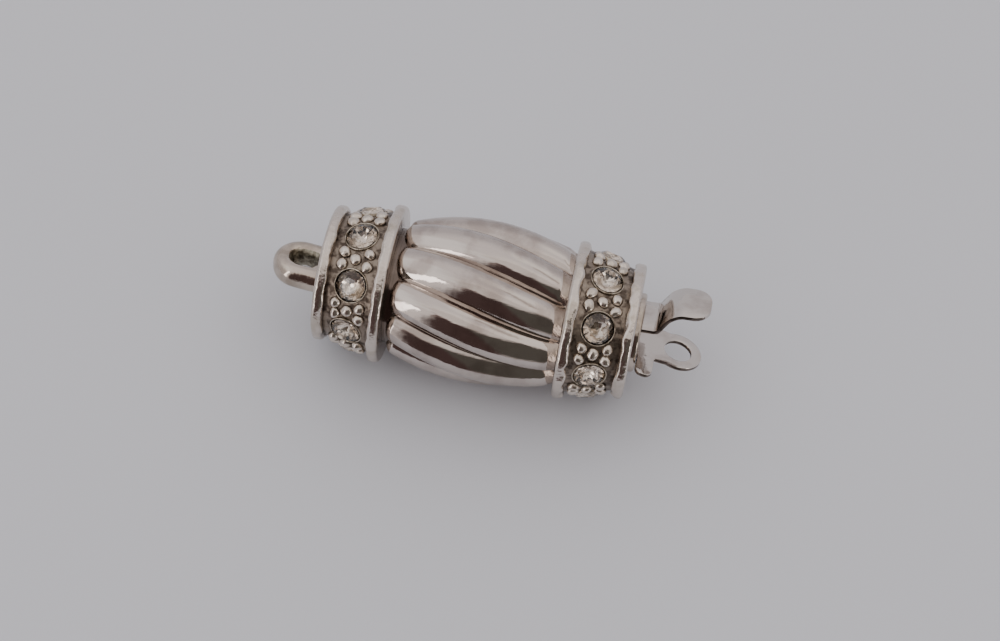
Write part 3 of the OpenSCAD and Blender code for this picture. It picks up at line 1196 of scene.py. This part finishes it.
@dataclass
class Tongue(Leaf):
    """Lower leaf of the folded spring: leaf, stop shoulders, ring, and the curl at the fold."""

    slope: float = 9.9
    ring_x: float = 15.27
    ring_z: float = -1.03
    ring_r: float = 1.85
    hole_r: float = 1.06
    leaf_y: float = 1.93
    side_play: float = -0.12
    wing_y: float = 3.84
    wing_len: float = 1.3
    wing_x: float = 12.33
    wing_corner: float = 0.6
    notch_y: float = 1.7
    notch_bevel: float = 0.07
    notch_rise: float = 0.25
    bead_gap: float = 0.04
    curl_from: float = 52.0
    curl_turn: float = 230.0

    def outline(self) -> list[tuple[float, float]]:
        """Draws half of the flat outline, about the ring's middle.

        Returns:
            Place and half width of each point, from the fold to the ring's tip.
        """
        level = math.cos(math.radians(self.slope))
        start, wing = ((x - self.ring_x) / level for x in (self.fold_x, self.wing_x))
        c, end = self.wing_corner, wing + self.wing_len
        points = [(start, self.leaf_y), (wing, self.leaf_y)]
        points += corner(wing + c, self.wing_y - c, c, 180.0, 8)
        points += corner(end - c, self.wing_y - c, c, 90.0, 8)
        bevel = self.notch_bevel
        points += [(end, self.notch_y + self.notch_rise), (end + bevel, self.notch_y + bevel)]
        meet = -math.sqrt(self.ring_r**2 - self.notch_y**2)
        first = math.atan2(self.notch_y, meet)
        angles = [first * (1 - i / 30) for i in range(31)]
        return points + [(self.ring_r * math.cos(a), self.ring_r * math.sin(a)) for a in angles]

    def leaf(self) -> Mesh:
        """Fills the outline round the ring's hole, gives it the sheet's thickness and rounds its edges.

        Returns:
            The leaf in its place, with the second material on its cut edges.
        """
        bm = bmesh.new()
        half = self.outline()
        loop = half[:-1] + [(half[-1][0], 0.0)] + [(x, -y) for x, y in reversed(half[:-1])]
        verts = [bm.verts.new((x, y, -self.sheet_t / 2.0)) for x, y in loop]
        for a, b in zip(verts, verts[1:] + verts[:1]):
            bm.edges.new((a, b))
        below = shifted(0.0, 0.0, -self.sheet_t / 2.0)
        bmesh.ops.create_circle(bm, segments=64, radius=self.hole_r, matrix=below)
        bmesh.ops.triangle_fill(bm, use_beauty=True, edges=bm.edges[:], normal=(0, 0, 1))
        grown = bmesh.ops.extrude_face_region(bm, geom=bm.faces[:])
        tops = [v for v in grown["geom"] if isinstance(v, bmesh.types.BMVert)]
        bmesh.ops.translate(bm, vec=(0, 0, self.sheet_t), verts=tops)
        bmesh.ops.recalc_face_normals(bm, faces=bm.faces)
        round_edges(bm, level_only=True)
        paint(bm, 1, lambda face: abs(face.normal.z) < 0.35)
        move(bm, shifted(self.ring_x, self.side_play, self.ring_z) @ turned(self.slope, "Y"))
        return bm

    def curl(self) -> Mesh:
        """Rolls the sheet's inner end round the bead.

        Returns:
            The curl in its place.
        """
        inner = self.bead_r + self.bead_gap
        outer, y = inner + self.sheet_t, self.leaf_y
        bm = bmesh.new()
        corners = ((inner, -y, 0), (outer, -y, 0), (outer, y, 0), (inner, y, 0))
        face = bm.faces.new([bm.verts.new(place) for place in corners])
        move(bm, turned(-self.curl_from, "Y"))
        turn = math.radians(self.curl_turn)
        bmesh.ops.spin(bm, geom=[face], cent=(0, 0, 0), axis=(0, -1, 0), angle=turn, steps=28)
        move(bm, shifted(self.fold_x, self.side_play, self.fold_z))
        return bm

    def build(self) -> None:
        """Builds the leaf with its curl."""
        bm = self.leaf()
        join(bm, self.curl())
        add_piece(bm, "tongue_leaf", Body.TONGUE, self.coats, ["tongue"])


@dataclass
class ThumbLeaf(Leaf):
    """Upper leaf of the folded spring: flat leaf, riser and thumb tab, with the bead at its inner end."""

    half_w: float = 1.7
    end_round: float = 1.3
    step: float = 0.12
    bends: tuple[tuple[float, float], ...] = (
        (8.0, 1.47), (11.5, 1.625), (13.2, 1.7), (13.42, 1.78), (13.56, 1.96), (13.98, 2.78), (14.14, 3.02),
        (14.36, 3.24), (14.68, 3.46), (14.98, 3.59), (15.35, 3.63), (16.2, 3.675), (17.03, 3.72),
    )

    @property
    def end_x(self) -> float:
        """Place of the tab's tip along the axis."""
        return self.bends[-1][0]

    def line(self) -> list[tuple[float, float]]:
        """Draws the leaf's middle line as a smooth curve through its bends.

        Returns:
            Place along the axis and height of each point, from the bead to the tip.
        """
        fold = (self.fold_x, self.fold_z)
        knots = [Vector(spot) for spot in (fold, fold, *self.bends, self.bends[-1])]
        points = []
        for before, a, b, after in zip(knots, knots[1:], knots[2:], knots[3:]):
            steps = max(2, int((b - a).length / self.step))
            for t in (k / steps for k in range(steps)):
                line = 2 * a + (b - before) * t
                bend = (2 * before - 5 * a + 4 * b - after) * t * t + (3 * a - before - 3 * b + after) * t**3
                points.append(tuple(0.5 * (line + bend)))
        return points + [self.bends[-1]]

    def width(self, x: float) -> float:
        """Half width at a place along the axis, which falls off round the thumb end."""
        past = max(0.0, x - (self.end_x - self.end_round))
        return self.half_w - self.end_round + math.sqrt(max(self.end_round**2 - past**2, 0.0))

    def build(self) -> None:
        """Lays a strip along the line, thickens it both ways and rounds its edges."""
        quarter = [math.pi / 2 * i / 12 for i in range(13)]
        tail = [self.end_x - self.end_round * (1.0 - math.sin(a)) for a in quarter]
        (tab_x, tab_z), (end_x, end_z) = self.bends[-3], self.bends[-1]
        slope = (end_z - tab_z) / (end_x - tab_x)
        line = [point for point in self.line() if point[0] < tail[0] - 0.05]
        line += [(x, end_z - (end_x - x) * slope) for x in tail]
        bm = bmesh.new()
        verts = [bm.verts.new((x, -1.0, z)) for x, z in line]
        edges = [bm.edges.new(pair) for pair in zip(verts, verts[1:])]
        grown = bmesh.ops.extrude_edge_only(bm, edges=edges)
        moved = [v for v in grown["geom"] if isinstance(v, bmesh.types.BMVert)]
        bmesh.ops.translate(bm, vec=(0, 2.0, 0), verts=moved)
        for vert in bm.verts:
            vert.co.y *= self.width(vert.co.x)
        bmesh.ops.recalc_face_normals(bm, faces=bm.faces)
        bm.normal_update()
        for vert in bm.verts:
            vert.co -= vert.normal * self.sheet_t / 2.0
        bmesh.ops.solidify(bm, geom=bm.faces[:], thickness=-self.sheet_t)
        round_edges(bm)
        tip_x = self.end_x - self.end_round / 2.0
        paint(bm, 1, lambda face: abs(face.normal.y) > 0.7)
        paint(bm, 1, lambda face: face.normal.x > 0.8 and face.calc_center_median().x > tip_x)
        bead = bmesh.new()
        place = shifted(self.fold_x, 0.0, self.fold_z) @ turned(90.0, "X")
        round_rod = {"radius1": self.bead_r, "radius2": self.bead_r, "depth": 2 * self.half_w}
        bmesh.ops.create_cone(bead, cap_ends=True, segments=32, matrix=place, **round_rod)
        join(bm, bead)
        add_piece(bm, "thumb_tab_leaf", Body.UPPER_LEAF, self.coats, ["thumb_leaf"])


@dataclass(frozen=True)
class Patch:
    """A patch of the surroundings that is brighter or dimmer than the rest, by its angles in degrees."""

    azimuth: float
    half_width: float
    elevation: float
    half_height: float
    soft: float
    tone: str
    share: float = 1.0


@dataclass(frozen=True)
class Window:
    """A bright panel, by its direction and its size as the clasp sees them, in degrees.

    Its radiance counts a white sheet under the same surroundings as 1.
    """

    name: str
    azimuth: float
    elevation: float
    width: float
    height: float
    radiance: float
    tone: str


@dataclass
class Studio:
    """Floor, soft light and camera; directions count from straight beyond the clasp, to the right."""

    lens: float = 76.2146
    spot: tuple[float, float, float] = (0.0100415, -0.0705045, 0.1482014)
    turn: tuple[float, float, float] = (26.0878, -2.0551, 11.4121)
    floor_edge: float = -0.026
    floor_reach: float = 2.0
    lamp_distance: float = 0.8
    brightness: float = 1.43
    patches: tuple[Patch, ...] = (
        Patch(-20.0, 90.0, 20.0, 60.0, 12.0, "#C4C2C8", 0.5),
        Patch(-100.0, 45.0, 50.0, 14.0, 9.0, "#F5F4F4", 0.8),
        Patch(45.0, 40.0, 55.0, 10.0, 8.0, "#F4EFEA", 0.8),
        Patch(180.0, 60.0, 74.0, 16.0, 10.0, "#B9B3B0", 0.5),
        Patch(55.0, 27.0, 64.0, 3.5, 3.0, "#8A7B6F", 0.6),
        Patch(180.0, 95.0, -60.0, 38.0, 10.0, "#8F8987", 0.85),
        Patch(205.0, 8.0, 48.0, 10.0, 4.0, "#6B5450", 0.8),
        Patch(121.0, 8.0, -8.0, 12.0, 3.0, "#F6F2EF"),
        Patch(-141.0, 8.0, 16.0, 38.0, 3.0, "#DCD6D5"),
        Patch(150.0, 32.0, 21.0, 37.0, 6.0, "#504D49"),
        Patch(191.0, 17.0, 13.0, 42.0, 4.0, "#463837"),
    )
    windows: tuple[Window, ...] = (
        Window("window_left", -137.0, 13.0, 9.0, 54.0, 3.0, "#FFF9F7"),
        Window("window_right", 121.0, 2.0, 12.0, 14.0, 4.6, "#FFF9F5"),
    )

    def floor(self) -> None:
        """Lays the floor in two parts; the metal doesn't mirror the front one, as if it ended there."""
        material = PaleFloor().make()
        edge, reach = self.floor_edge, self.floor_reach
        for name, near, far in (("floor", edge, reach), ("floor_front", -reach, edge)):
            bm = bmesh.new()
            size = Matrix.Diagonal((2.0 * reach, far - near, 1.0, 1.0))
            place = shifted(0.0, (near + far) / 2.0, 0.0) @ size
            bmesh.ops.create_grid(bm, x_segments=1, y_segments=1, size=0.5, matrix=place)
            piece = as_object(bm, name, [material])
            piece.visible_glossy = near == edge
            log.info("%s: laid", name)

    def sky(self) -> None:
        """Makes the surroundings: pale above, with the viewer's side dim."""
        world = bpy.data.worlds.new("soft_surroundings")
        bpy.context.scene.world = world
        world.use_nodes = True
        sky = Graph(world.node_tree)
        where = sky.add("TexCoord", (), out="Generated")
        across, away, up = (sky.add("SeparateXYZ", (where,), out=axis) for axis in "XYZ")
        azimuth = sky.add("Math", (across, away), operation="ARCTAN2")
        azimuth = sky.add("Math", (azimuth,), operation="DEGREES")
        elevation = sky.add("Math", (up,), operation="ARCSINE")
        elevation = sky.add("Math", (elevation,), operation="DEGREES")
        share = sky.add("MapRange", (elevation, 15.0, 50.0, 0.0, 1.0), **SOFT)
        colour = sky.add("Mix", {0: share, 6: linear("#B0ABAB"), 7: linear("#EDE6E2")}, **COLOURS)
        for patch in self.patches:
            turn = sky.add("Math", (azimuth, patch.azimuth), operation="SUBTRACT")
            turn = sky.add("Math", (turn, 180.0, -180.0), operation="WRAP")
            rise = sky.add("Math", (elevation, patch.elevation), operation="SUBTRACT")
            share = patch.share
            for offset, half in ((turn, patch.half_width), (rise, patch.half_height)):
                off = sky.add("Math", (offset,), operation="ABSOLUTE")
                inside = sky.add("MapRange", (off, half - patch.soft, half + patch.soft, 1.0, 0.0), **SOFT)
                share = sky.add("Math", (inside, share), operation="MULTIPLY")
            colour = sky.add("Mix", {0: share, 6: colour, 7: linear(patch.tone)}, **COLOURS)
        back = sky.add("Background", {"Color": colour, "Strength": self.brightness})
        sky.add("OutputWorld", {"Surface": back})

    def hang(self, window: Window) -> None:
        """Hangs a window that the metal mirrors; the surroundings alone light the floor.

        Args:
            window: The window.
        """
        data = bpy.data.lights.new(window.name, "AREA")
        data.shape = "RECTANGLE"
        halves = (math.tan(math.radians(angle) / 2.0) for angle in (window.width, window.height))
        data.size, data.size_y = (2.0 * self.lamp_distance * half for half in halves)
        data.energy = window.radiance * math.pi * data.size * data.size_y
        data.color = linear(window.tone)[:3]
        turn, rise = math.radians(window.azimuth), math.radians(window.elevation)
        away = Vector((math.sin(turn) * math.cos(rise), math.cos(turn) * math.cos(rise), math.sin(rise)))
        lamp = show(bpy.data.objects.new(window.name, data))
        lamp.location = away * self.lamp_distance
        lamp.rotation_euler = away.to_track_quat("Z", "Y").to_euler()
        lamp.visible_diffuse = False

    def camera(self) -> None:
        """Sets the camera at the photograph's place."""
        data = bpy.data.cameras.new("camera")
        data.lens = self.lens
        data.sensor_width = 36.0
        data.sensor_fit = "HORIZONTAL"
        data.clip_start = 0.005
        view = show(bpy.data.objects.new("camera", data))
        view.location = self.spot
        view.rotation_euler = [math.radians(a) for a in self.turn]
        bpy.context.scene.camera = view

    def build(self) -> None:
        """Builds the studio."""
        self.floor()
        self.sky()
        for window in self.windows:
            self.hang(window)
        self.camera()


def main() -> None:
    """Builds every piece of the clasp, in order."""
    logging.basicConfig(level=logging.INFO, format="%(name)s: %(message)s")
    finishes = Finishes()
    for part in (
        FlutedBarrel(finishes),
        Band(finishes, Side.LEFT, first_stone=12.9, waver=0.07),
        Band(finishes, Side.RIGHT, first_stone=8.3),
        LoopEnd(finishes),
        SlottedEnd(finishes),
        Tongue(finishes),
        ThumbLeaf(finishes),
    ):
        part.build()
    Studio().build()


if __name__ == "__main__":
    main()
